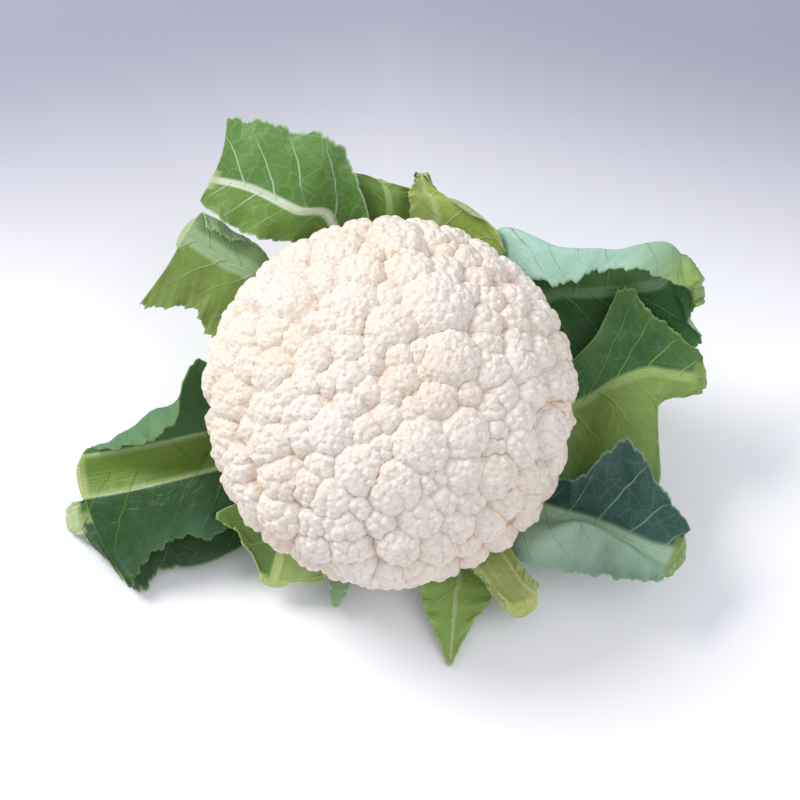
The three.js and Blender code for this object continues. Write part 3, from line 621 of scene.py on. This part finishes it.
LEAVES = [
    dict(name="leaf_top_left", rib=(9, 5, 6, 3), wave=(1.6, 5, 0),
         roots=[(-12.5, 16, 29.5, 10), (-22, 40, 46, 12)], net=[
             [(-38, 65, 74), (-31, 71, 77), (-25, 77, 80), (-17, 83, 84), (-9, 86, 87)],
             [(-51, 68, 82), (-46, 75, 87), (-40, 82, 90), (-31, 98, 99), (-23, 113, 107)],
             [(-66, 73, 86), (-62, 82, 91), (-59, 91, 94), (-54, 106, 102), (-50, 121, 108)],
             [(-82, 85, 90), (-79, 90, 93), (-76, 95, 95), (-71, 108, 101), (-69, 123, 105)]],
         right=(1, 1, 1, 1, 0.97, 0.9, 1, 1, 0.93, 1, 0.97, 1)),
    dict(name="leaf_left_upper", rib=(9, 8, 6, 5), wave=(0.8, 5, 1), slant=2,
         roots=[(-22, 10, 15, 10), (-48, 22, 33, 14)], net=[
             [(-76, 25, 46), (-65, 38, 54), (-56, 51, 61), (-53, 59, 66), (-53, 64, 70)],
             [(-89, 36, 52), (-79, 49, 61), (-70, 61, 68), (-66, 72, 74), (-68, 69, 77)],
             [(-108, 40, 56), (-95, 58, 68), (-87, 72, 76), (-80, 81, 80), (-78, 74, 83)]],
         left=(1, 1, 1, 1, 1, 1, 0.98, 0.84, 0.9, 1, 1)),
    dict(name="leaf_left", rib=(9, 11, 7, 7), wave=(1.2, 7, 0.5), crest=-2.5, slant=4,
         roots=[(-26, -10, 22, 10), (-56, -16, 33, 14)], net=[
             [(-71, -57, 24), (-72, -40, 34), (-76, -21, 40), (-79, -2, 49), (-83, 19, 60)],
             [(-93, -62, 22), (-95, -46, 31), (-98, -26, 38), (-98, -3, 54), (-93, -12, 60)],
             [(-105, -72, 14), (-110, -55, 24), (-118, -30, 34), (-116, -15, 44), (-112, -20, 48)],
             [(-110, -82, 7), (-123, -60, 19), (-132.5, -32, 30), (-130.5, -22, 34), (-126, -20, 37)]],
         left=(1, 1, 1, 1, 0.97, 1, 0.94, 1, 0.97, 1, 1, 1)),
    dict(name="leaf_left_under", rib=(8, 8, 6, 6), wave=(0.8, 6, 0), slant=6,
         roots=[(-24, -13, 9, 10)], net=[
             [(-71, -66, 6), (-73, -56, 8), (-75, -45, 10), (-77, -39, 11), (-78, -34, 12)],
             [(-97, -73, 5), (-101, -60, 7), (-104, -47, 9), (-106, -41, 10), (-107, -37, 11)],
             [(-107, -82, 2.6), (-114, -66, 6), (-121, -49, 9), (-122, -43, 10), (-122, -39, 11)],
             [(-128, -60, 8), (-131, -55, 8.5), (-133, -50, 9), (-133, -46, 10), (-132, -42, 11)]]),
    dict(name="leaf_lower_left", rib=(7, 7, 5, 4), wave=(0.5, 3, 0), slant=3,
         roots=[(-14, -28, 17, 8)], net=[
             [(-30, -63, 25), (-36, -60, 22), (-44, -56, 22), (-60, -50, 29), (-72, -46, 35)],
             [(-25, -70, 25), (-35, -71, 19), (-47, -66, 19), (-58, -60, 24), (-67, -54, 31)],
             [(-29, -77, 21), (-41, -77, 15), (-50, -76.5, 14), (-56, -72, 18), (-58, -66, 24)]]),
    dict(name="leaf_front_small", rib=(3, 2, 3, 1.5), wave=(0.3, 3, 0),
         roots=[(-1, -35, 19, 4)], net=[
             [(-15, -67, 17), (-18, -66, 15), (-21, -66, 14), (-24, -66, 14), (-27, -66, 15)],
             [(-17, -78, 13), (-19, -77, 12), (-22, -76, 11), (-24, -76, 11), (-26, -76, 12)],
             [(-21, -86, 7), (-22, -87, 7), (-23, -87, 7), (-24, -87, 7), (-25, -86, 7)]]),
    dict(name="leaf_front", rib=(6, 2, 4, 1.2), wave=(0.6, 6, 0),
         roots=[(6, -28, 7, 8)], net=[
             [(41, -72, 13), (35, -71, 11), (28, -70, 10), (20, -71, 11), (12, -72, 13)],
             [(44, -84, 11), (36, -83, 9), (28, -83, 8.5), (20, -84, 9), (13, -85, 10)],
             [(36, -94, 7), (32, -95, 6), (27, -96, 5.5), (22, -96, 6), (18, -96, 7)],
             [(26.5, -111, 2.3), (26, -112, 2.3), (25.6, -112, 2.2), (25.2, -112, 2.3),
              (24.8, -111, 2.3)]]),
    dict(name="leaf_front_right", rib=(8, 8, 6, 6), wave=(0.4, 3, 0), crest=-1.5, slant=6,
         roots=[(16, -28, 18, 9)], net=[
             [(50, -61, 31), (47, -63, 27), (41, -66, 25), (35, -67, 26), (30, -66, 29)],
             [(58, -72, 28), (55, -76, 23), (50, -79, 21), (43, -78, 23), (38, -74, 28)],
             [(64, -78, 24.5), (61, -82, 20.5), (56, -85, 19), (50, -85, 21.5), (45, -81, 26.5)]]),
    dict(name="leaf_right_lower", rib=(9, 10, 6, 6), wave=(1, 6, 0), slant=7,
         roots=[(22, -16, 10, 10), (46, -33, 21, 10)], net=[
             [(73, -33, 44), (71, -39, 38), (66, -47, 31), (61, -55, 33), (56, -68, 27)],
             [(83, -29, 54), (84, -40, 46), (85, -52, 35), (81, -53, 40), (80, -74, 21)],
             [(101, -14, 60), (101, -36, 51), (101, -59, 37), (99, -61, 42), (97, -76, 28)],
             [(116, -34, 53), (113, -47, 46), (112, -64, 36), (110, -69, 38), (107, -77, 32)],
             [(129, -54, 42), (125, -58, 38), (121, -66, 34), (118, -72, 33), (116, -77, 33)]],
         left=(1, 1, 1, 1, 1, 0.95, 1, 1, 1, 0.97, 1, 1)),
    dict(name="leaf_right", rib=(9, 8, 6, 6), wave=(1, 5, 0), slant=4,
         roots=[(26, -6, 23, 10), (58, -8, 34, 12)], net=[
             [(86, 26, 60), (84, 12, 50), (82, 0, 41), (80, -17, 33), (77, -37, 25)],
             [(99, 51, 77), (97, 30, 62), (96, 8, 49), (95, -14, 41), (93, -39, 33)],
             [(111, 40, 73), (110, 27, 64), (110, 13, 54), (112, -10, 46), (115, -36, 36)],
             [(122, 31, 68), (119, 22, 61), (118, 12, 55), (116, 5, 52), (113, -4, 48)],
             [(134, 20, 61), (133, 15, 58), (131.5, 10, 56), (131, 6, 54), (130.5, 3, 52)]]),
    dict(name="leaf_top_right", rib=(9, 10, 6, 5), wave=(0.8, 5, 0), slant=2,
         roots=[(22, 9, 15, 10), (54, 31, 27, 14)], net=[
             [(57, 50, 75), (45, 72, 79), (66, 44, 56), (72, 25, 44), (76, 8, 34)],
             [(74, 48, 84), (73, 66, 88), (88, 47, 66), (92, 32, 52), (93, 16, 43)],
             [(91, 55, 88), (96, 65, 90), (112, 50, 74), (122, 37, 64), (132, 23, 56)],
             [(110, 54, 91), (119, 67.5, 91), (121, 55, 81), (125, 43, 72), (128, 33, 66)],
             [(126, 48, 83), (129, 52, 83), (130, 48.5, 80), (130.5, 45, 77), (130, 41, 74)]]),
    dict(name="leaf_back", rib=(8, 3, 5, 2), wave=(0.6, 4, 0),
         roots=[(1, 22, 19, 10), (-1, 52, 41, 12)], net=[
             [(-17, 83, 79), (-8, 83, 81), (0, 82, 82), (5, 82, 81), (10, 84, 80)],
             [(-21, 98, 88), (-11, 97, 89), (-3, 94, 90), (2, 93, 89), (9, 91, 87)]]),
    dict(name="leaf_back_right", rib=(8, 3, 5, 2), wave=(0.8, 4, 0),
         roots=[(11, 16, 29, 9), (23, 46, 44, 12)], net=[
             [(8, 83, 87), (14, 82, 86), (20, 80, 84), (35, 78.5, 84), (50, 67, 84)],
             [(8, 90, 92), (11, 90, 92), (15, 90, 91), (20, 89, 90), (25, 86, 88)],
             [(12.5, 96, 96), (13, 97, 96), (13.7, 97, 96), (14.4, 97, 96), (15, 96, 96)]]),
]
print("leaves", len(LEAVES))


def seen(right, up, height):
    """The point that the viewer sees right and up of the middle, at a height on the table."""
    ray = PLANE_MIDDLE + np.array([right, 0, 0]) + up * UP_THE_PLANE - EYE
    return EYE + ray * (height - EYE[2]) / ray[2]


def net_points(leaf):
    """All rows of a leaf, root rows first, as an array of rows by 5 columns by x, y, z."""
    net = np.array([[seen(*point) for point in row] for row in leaf["net"]])
    roots = np.array(leaf["roots"], float)
    line = np.vstack([roots[:, :3], net[:, 2]])
    along = unit(np.gradient(line, axis=0))[:len(roots)]
    up = unit(FACING - roots[:, :3])
    across = unit(np.cross(along, up))
    places = np.array([-1, -0.5, 0, 0.5, 1])
    wings = across[:, None] * (roots[:, 3:] * places)[..., None]
    return np.concatenate([roots[:, None, :3] + wings, net])


# %% [markdown]
# ### From a net to a leaf
# A curve runs through the five points of every row, and points are laid along it at even steps
# from the rib outward. Ripples grow toward the margin, because the margin grows longer than
# the rib. The sheet then gets its thickness: thin in the blades and thick along the rib, which
# one even Solidify modifier wouldn't give.

# %% Curves and wobbles
def through(rows, t):
    """Smooth curve through rows of numbers at t from 0 to 1 (uniform Catmull-Rom)."""
    rows = np.asarray(rows, float)
    n = len(rows)
    ends = np.vstack([2 * rows[0] - rows[1], rows, 2 * rows[-1] - rows[-2]])
    s = np.clip(t, 0, 1) * (n - 1)
    k = np.minimum(s.astype(int), n - 2)
    f = (s - k)[:, None]
    p, q, r, w = ends[k], ends[k + 1], ends[k + 2], ends[k + 3]
    return 0.5 * (2 * q + (r - p) * f + (2 * p - 5 * q + 4 * r - w) * f ** 2
                  + (3 * q - p - 3 * r + w) * f ** 3)


def wavy(t, seed, octaves=4):
    """A repeatable wobble between about -1 and 1: a sum of sine waves of random phase."""
    random = random_numbers(seed)
    total = np.zeros_like(t)
    for k in range(octaves):
        total = total + np.sin(2 * math.pi * (2 ** k * 1.7 * t + next(random))) / 1.6 ** k
    return total / 2


def skin_normal(sheet):
    """Unit normals of the upper face: across the leaf times along it."""
    return unit(np.cross(np.gradient(sheet, axis=1), np.gradient(sheet, axis=0)))


# %% Leaf surface
ROWS, RIB_STEPS, BLADE_STEPS = 130, 9, 30     # along the leaf, and across one half of it
CURVE_MIDDLE = 48                 # a row's curve has this many steps on each side of the rib
RIB_SHARE = 0.7                   # the most of a half's width that its rib may take
NICKS, NICK_RATE = 0.045, 6       # depth of the margin's nicks, and how close they lie
END_STARTS = 0.93                 # from here on along the leaf the cut end has its effect


def lay_half(curve, u, leaf, side, rib_half, seed):
    """Points from the rib to the margin: even steps on the rib, then even steps on the blade."""
    step = np.linalg.norm(np.diff(curve, axis=1), axis=-1)
    run = np.hstack([np.zeros((ROWS, 1)), np.cumsum(step, axis=1)])
    lobes = leaf.get("left" if side < 0 else "right", (1, 1))
    width = run[:, -1] * np.interp(u, np.linspace(0, 1, len(lobes)), lobes)
    nicks = NICKS * (1 + wavy(u * NICK_RATE, seed + side))
    width = width * (1 - nicks * smooth(0.3, 0.5, u))
    inner_width = np.minimum(rib_half, RIB_SHARE * width)[:, None]
    inner = inner_width * np.arange(1, RIB_STEPS + 1) / RIB_STEPS
    outer = inner_width + (width[:, None] - inner_width) * (
        np.arange(1, BLADE_STEPS + 1) / BLADE_STEPS)
    distance = np.hstack([inner, outer])
    place = np.array([[np.interp(d, r, c) for c in h.T]
                      for d, r, h in zip(distance, run, curve)]).transpose(0, 2, 1)
    return place, side * distance, distance / width[:, None]


def ripples(leaf, u, across_by, outness, seed):
    """Even waves that grow with outness squared, and a wobble that grows with its cube."""
    height, count, phase = leaf["wave"]
    turn = 2 * math.pi * count * u[:, None] + phase + np.sign(across_by)
    grow = smooth(0.25, 0.6, u)[:, None]
    even = height * outness ** 2 * np.sin(turn) * grow
    return even + 0.8 * outness ** 3 * wavy(u[:, None] * 3 + outness * 0.4, seed, 3) * grow


def leaf_surface(leaf, seed):
    """The two skins of a leaf: a smooth sheet through its net, and the sheet's thickness."""
    net = net_points(leaf)
    u = np.linspace(0, 1, ROWS)
    lines = through(net.reshape(len(net), 15), u).reshape(ROWS, 5, 3)
    fine = np.linspace(0, 1, 2 * CURVE_MIDDLE + 1)
    curves = through(lines.transpose(1, 0, 2).reshape(5, -1), fine)
    curves = curves.reshape(len(fine), ROWS, 3).transpose(1, 0, 2)
    r0, r1, t0, t1 = leaf["rib"]
    rib_half, rib_thick = r0 + (r1 - r0) * u, t0 + (t1 - t0) * u
    left, left_s, left_o = lay_half(curves[:, CURVE_MIDDLE::-1], u, leaf, -1, rib_half, seed)
    right, right_s, right_o = lay_half(curves[:, CURVE_MIDDLE:], u, leaf, 1, rib_half, seed)
    zero = np.zeros((ROWS, 1))
    sheet = np.concatenate([left[:, ::-1], lines[:, 2:3], right], 1)
    across_by = np.hstack([left_s[:, ::-1], zero, right_s])
    outness = np.hstack([left_o[:, ::-1], zero, right_o])
    sheet = sheet + skin_normal(sheet) * ripples(leaf, u, across_by, outness, seed)[..., None]
    normal = skin_normal(sheet)
    near = np.clip(np.abs(across_by) / rib_half[:, None], 0, 1)
    belly = rib_thick[:, None] * np.sqrt(1 - near ** 2)
    crest = leaf.get("crest", 0.5) * (1 - near ** 2) ** 2
    top = sheet + normal * (SHEET + np.maximum(crest, -0.75 * belly))[..., None]
    under = sheet - normal * (SHEET + belly)[..., None]
    reach = leaf.get("slant", 0) * smooth(END_STARTS, 1, u)[:, None] * np.sqrt(1 - near ** 2)
    under = under + unit(sheet[-1] - sheet[-2]) * reach[..., None]
    steps = np.linalg.norm(np.diff(lines[:, 2], axis=0), axis=1)
    length = np.concatenate([[0], np.cumsum(steps)])
    length = np.broadcast_to(length[:, None], across_by.shape)
    return top, under, length, across_by, outness, 1 - near


# %% [markdown]
# Two skins don't make a closed leaf yet. A strip joins them along both margins and at the
# root. The end is a knife's cut or a tip, so it gets a cap of several rows with a slight
# bulge, and every point is told whether it lies on the upper or under skin, on the rib, and
# at the end, because the finish needs that.

# %% Closed leaf
CAP_ROWS = 8
BULGE, FULL_BULGE_FROM = 0.9, 4   # of the cap, full where the leaf is this thick
END_HINT = 0.4                    # the skins close to the end are marked by this much


def leaf_piece_arrays(leaf, seed):
    """Joins the skins: margins with one strip, the cut end with a cap of several rows."""
    top, under, length, across_by, outness, ribness = leaf_surface(leaf, seed)
    rows, columns = across_by.shape
    flat = rows * columns
    points = [top.reshape(-1, 3), under.reshape(-1, 3)]
    quads = [grid_quads(rows, columns), grid_quads(rows, columns, flat)[:, ::-1]]
    place = np.stack([length, across_by, outness], -1).reshape(-1, 3)
    close = np.repeat(END_HINT * smooth(END_STARTS, 1, np.linspace(0, 1, rows)), columns)
    kind = np.stack([np.zeros(flat), ribness.ravel(), close], -1)
    kind_under = kind.copy()
    kind_under[:, 0] = 1
    places, kinds = [place, place], [kind, kind_under]
    ids = np.arange(flat).reshape(rows, columns)
    for line in (ids[:, 0], ids[::-1, -1], ids[0, ::-1]):
        a, b = line[:-1], line[1:]
        quads.append(np.stack([a, a + flat, b + flat, b], -1))
    upper, lower = top[-1], under[-1]
    push = unit(top[-1] - top[-2])
    thickness = np.linalg.norm(upper - lower, axis=-1)
    strips = [ids[-1]]
    total = 2 * flat
    for k in range(1, CAP_ROWS):
        f = k / CAP_ROWS
        bulge = BULGE * math.sin(math.pi * f) * np.minimum(1, thickness / FULL_BULGE_FROM)
        points.append(upper * (1 - f) + lower * f + push * bulge[:, None])
        places.append(place.reshape(rows, columns, 3)[-1])
        kinds.append(np.stack([np.full(columns, f), ribness[-1], np.ones(columns)], -1))
        strips.append(total + np.arange(columns))
        total += columns
    strips.append(ids[-1] + flat)
    for above, below in zip(strips, strips[1:]):
        quads.append(np.stack([above[:-1], below[:-1], below[1:], above[1:]], -1))
    for column, order in ((0, -1), (-1, 1)):
        line = np.array([strip[column] for strip in strips[1:]])[::order]
        hub = np.full(len(line) - 1, ids[-1, column])
        quads.append(np.stack([hub, line[:-1], line[1:], line[1:]], -1))
    return np.vstack(points), np.vstack(quads), np.vstack(places), np.vstack(kinds)


# %% [markdown]
# ### Finish of the leaves
# The mesh tells each point how far it lies along the leaf and across from the rib. Thin side
# veins leave the rib every 15 mm or so and bend toward the tip, and a net of finer veins fills
# the fields between them. The blade puckers between its veins, and the tops of the puckers get
# a painted highlight. A waxy bloom lies in patches on the upper face and covers the underside;
# on the upper face its pale patches, which grow toward the margin, are partly painted sheen.
# The two halves of a leaf can differ in colour; on some leaves the dark half is painted shade,
# and on leaf_right_lower the pale half is painted sheen.
#
# Veins painted in a picture would blur close by. Here each point's distance from the nearest
# vein is worked out in millimetres, so they stay sharp and follow the leaf where it rolls.

# %% Leaf finish
VEIN_SPACING = 15.0
VEIN_SLOPE, VEIN_BEND = 0.8, 0.004            # how far a vein runs on along the leaf
UNDER_TURN = (128, 150)                       # where the underside changes colour
STALK = (0.55, 0.85)                          # where the rib's colour starts and is full


def leaf_finish(name, seed, left, right, lower, rib, bloom_and_sheen, cut, lower_end=None, edge=None,
                stalk=STALK):
    """Colours of both halves, the underside and its end, the rib, its painted edge highlight, and the
    cut.
    """
    f = Finish(name, 0.45, Specular_IOR_Level=0.3, Subsurface_Weight=0.05,
               Subsurface_Scale=0.003)
    along, across, out = f.place("place")
    under, near, end = f.place("kind")
    away = abs(across)
    wander = (f.noise(55, 2) - 0.5) * 6.0
    branch = (along - away * VEIN_SLOPE + away * away * VEIN_BEND + wander + seed * 3.7
              + across.above(0.0) * (VEIN_SPACING * 0.45)) / VEIN_SPACING
    from_vein = abs(branch.wrapped() - 0.5) * VEIN_SPACING
    thick = (1 - out) * 0.7 + 0.25
    veins = (1 - (from_vein / thick).ramp(0.3, 1.0)) * (1 - out.ramp(0.8, 1.0))
    veins = veins * f.noise(35, 2).ramp(0.3, 0.55)
    sheet = f.vector(along * 0.14 + wander * 0.05, across * 0.14, seed)
    net = 1 - f.cells(1.0, "DISTANCE_TO_EDGE", sheet).ramp(0.0, 0.06)
    fine = 1 - f.cells(3.2, "DISTANCE_TO_EDGE", sheet).ramp(0.0, 0.12)
    streak = f.noise(1.0, 3, f.vector(along * 0.03, across * 0.9, seed)).ramp(0.35, 0.7)
    blotch = f.noise(24, 3).ramp(0.35, 0.7)
    patch = f.noise(13, 3).ramp(0.5, 0.75)
    pucker = f.noise(105, 2)
    # painted highlight on the raised tops of the puckers
    pucker_highlight = pucker.ramp(0.4, 0.7)
    # the halves' own paints; on some leaves a dark half is painted shade and a pale half painted sheen
    blade = f.mix(across.ramp(-2.0, 2.0), left, right)
    # waxy bloom and painted sheen in patches, and a painted highlight on the pucker tops
    blade = f.mix(blotch * 0.3 + pucker_highlight * 0.12, blade, bloom_and_sheen)
    blade = f.mix(patch * 0.5, blade, bloom_and_sheen)
    # more bloom and painted sheen toward the margin
    blade = f.mix(out.ramp(0.6, 1.0) * 0.4, blade, bloom_and_sheen)
    blade = f.mix(fine * 0.04 + net * 0.08, blade, rib)
    blade = f.mix(veins * 0.5, blade, rib)
    back = f.mix(along.ramp(*UNDER_TURN), lower, lower_end or lower)
    back = f.mix(blotch * 0.25, back, left)
    back = f.mix(net * 0.12 + veins * 0.5, back, rib)
    skin = f.mix(under.ramp(0.3, 0.7), blade, back)
    skin = f.mix(out.ramp(0.95, 1.0) * 0.55, skin, rib)
    # painted highlight: the edge paint lights the rims of the rib's channel
    stem = f.mix(near.ramp(0.1, 0.4), edge or rib, rib)
    stem = f.mix(streak * 0.3, stem, right)
    skin = f.mix(near.ramp(*stalk), skin, stem)
    skin = f.mix(end.ramp(0.1, 0.4) * near.ramp(0.0, 0.2) * 0.7, skin, cut)
    flesh = f.mix(f.noise(500, 2).ramp(0.4, 0.6) * 0.5, cut, edge or rib)
    f.colour(f.mix(end.ramp(0.5, 1.0), skin, flesh))
    f.roughness(0.4 + blotch * 0.15 + under * 0.12)
    f.bump(veins * 0.5 + net * 0.1 + fine * 0.04 - f.noise(200, 3) * 0.25 + streak * near * 0.3
           + pucker * (1 - near) * 2.2, 0.0007)
    return f.material


# %% [markdown]
# No two leaves have the same green. Outer leaves are darker and bluer, and a thick rib is paler
# than its blade. The paints also hold painted light and shade: parts that look lit are painted
# lighter and yellower, parts that look shaded are painted darker, and some leaves that lie in
# the head's shadow are painted lighter to make up for it. So each leaf has its own paints,
# tuned render after render, until the leaf agreed with the photograph. They are written as the
# 0 to 255 numbers of a colour picker.

# %% Paints of the leaves
LEAF_PAINTS = {
    "leaf_top_left": dict(
        left=(94, 128, 38), right=(74, 116, 44), lower=(140, 170, 140),
        rib=(212, 224, 200), bloom_and_sheen=(106, 146, 76), cut=(170, 186, 130)),
    "leaf_left_upper": dict(
        left=(118, 146, 66), right=(122, 156, 102), lower=(138, 168, 120),
        rib=(158, 186, 140), bloom_and_sheen=(128, 154, 80), cut=(160, 180, 130),
        stalk=(0.35, 0.6)),
    # painted light: the rib is lightened where the head's shadow lies on it, and the pale edge is a
    # painted highlight
    "leaf_left": dict(
        left=(34, 72, 32), right=(64, 112, 58), lower=(98, 138, 96),
        rib=(102, 132, 40), bloom_and_sheen=(76, 118, 88), cut=(160, 178, 112),
        edge=(158, 178, 118), stalk=(0.02, 0.12)),
    "leaf_left_under": dict(
        left=(56, 90, 56), right=(88, 134, 60), lower=(110, 144, 110),
        rib=(150, 176, 118), bloom_and_sheen=(70, 100, 74), cut=(178, 194, 142),
        stalk=(0.5, 0.8)),
    # painted light: the left half and rib are painted bright yellow-green where the leaf lies in shade
    "leaf_lower_left": dict(
        left=(150, 174, 102), right=(84, 122, 58), lower=(130, 160, 116),
        rib=(184, 202, 126), bloom_and_sheen=(134, 160, 84), cut=(180, 196, 122)),
    # painted light: pale paints that brighten a leaf lying in the head's shadow
    "leaf_front_small": dict(
        left=(154, 194, 144), right=(144, 184, 132), lower=(120, 150, 120),
        rib=(160, 186, 142), bloom_and_sheen=(160, 194, 150), cut=(150, 170, 120)),
    "leaf_front": dict(
        left=(134, 168, 80), right=(130, 166, 78), lower=(130, 160, 116),
        rib=(178, 198, 140), bloom_and_sheen=(144, 174, 94), cut=(160, 178, 110),
        stalk=(0.6, 0.9)),
    # painted highlight: edge is the lit rim of the channel
    "leaf_front_right": dict(
        left=(156, 166, 94), right=(204, 208, 124), lower=(160, 178, 130),
        rib=(158, 172, 104), bloom_and_sheen=(170, 182, 106), cut=(176, 184, 102),
        edge=(196, 204, 142), stalk=(0.02, 0.15)),
    # painted shade on the dark left half and painted sheen on the pale right half
    "leaf_right_lower": dict(
        left=(26, 66, 58), right=(184, 216, 184), lower=(128, 174, 146),
        rib=(154, 184, 152), bloom_and_sheen=(56, 94, 84), cut=(122, 144, 60),
        stalk=(0.4, 0.75)),
    "leaf_right": dict(
        left=(50, 94, 50), right=(122, 150, 74), lower=(140, 162, 120),
        rib=(152, 178, 108), bloom_and_sheen=(92, 130, 64), cut=(130, 152, 74),
        stalk=(0.6, 0.9)),
    # painted shade and light: the halves are the shaded green inside the roll, the rib its lit band,
    # and lower_end the yellow-green end of the turned-back underside, partly painted light
    "leaf_top_right": dict(
        left=(86, 128, 72), right=(54, 102, 50), lower=(162, 198, 184),
        rib=(128, 166, 118), bloom_and_sheen=(74, 116, 70), cut=(150, 172, 98),
        lower_end=(138, 166, 88)),
    "leaf_back": dict(
        left=(88, 122, 48), right=(114, 146, 64), lower=(130, 160, 116),
        rib=(150, 172, 112), bloom_and_sheen=(122, 150, 72), cut=(150, 170, 110)),
    "leaf_back_right": dict(
        left=(152, 174, 92), right=(152, 176, 84), lower=(150, 172, 120),
        rib=(184, 196, 138), bloom_and_sheen=(166, 184, 106), cut=(170, 184, 120)),
}

# %% All leaves
for index, leaf in enumerate(LEAVES):
    name = leaf["name"]
    points, quads, places, kinds = leaf_piece_arrays(leaf, 100 + 17 * index)
    paints = {key: paint(*value) if key != "stalk" else value
              for key, value in LEAF_PAINTS[name].items()}
    make_piece(name + "_blade", points, quads, {"place": places, "kind": kinds},
               leaf_finish(name + " skin", index, **paints), name)

# %% [markdown]
# ## Table and light
# The table is plain and pale, and painted shade darkens it to a cool grey-violet toward the
# back, sooner at the sides, where the lamps' light falls off. It is only a stage for the head.
# The light is soft and comes from the upper left, so a weak shadow lies below and to the right
# of the head. One wide lamp gives that, and a weaker one keeps the leaves on the far side from
# turning black.

# %% Table
FADE_START, FADE_END = 0.03, 0.28             # metres behind the head
CORNERS = 0.2                                 # the fade comes this much nearer at the sides
TABLE_SIZE = 6


def table_finish():
    f = Finish("pale table", 0.8)
    x, y, _ = [f.add("ShaderNodeSeparateXYZ", None, {0: f.here()}, out=k) for k in range(3)]
    # painted shade: the table darkens toward the back and the sides, standing in for the lamps'
    # falloff
    painted_falloff = (y + abs(x) * CORNERS).ramp(FADE_START, FADE_END)
    f.colour(f.mix(painted_falloff, paint(250, 250, 254), paint(153, 154, 171)))
    return f.material


bpy.ops.mesh.primitive_plane_add(size=TABLE_SIZE, location=(0, 0, 0))
table = bpy.context.object
table.name = "table"
table.data.materials.append(table_finish())
print("table", TABLE_SIZE, "m wide")


# %% Lights
def soft_light(name, place, size, power, colour):
    """A round lamp that faces the head: size in metres, power in watts."""
    lamp = bpy.data.lights.new(name, "AREA")
    lamp.shape, lamp.size, lamp.energy, lamp.color = "DISK", size, power, colour
    light = bpy.data.objects.new(name, lamp)
    light.location = place
    light.rotation_euler = (LOOK_AT - Vector(place)).to_track_quat("-Z", "Y").to_euler()
    bpy.context.collection.objects.link(light)
    print(name, "lamp,", round((Vector(place) - LOOK_AT).length, 2), "m from the head")


soft_light("window", (-0.95, 0.5, 1.15), size=0.75, power=17.5, colour=(1.0, 0.985, 0.965))
soft_light("fill", (0.9, -0.6, 1.4), size=1.4, power=7, colour=(0.97, 0.98, 1.0))
world = bpy.data.worlds.new("studio")
bpy.context.scene.world = world
world.use_nodes = True
sky = world.node_tree.nodes["Background"].inputs
sky["Color"].default_value = (0.93, 0.94, 1.0, 1)
sky["Strength"].default_value = 0.65
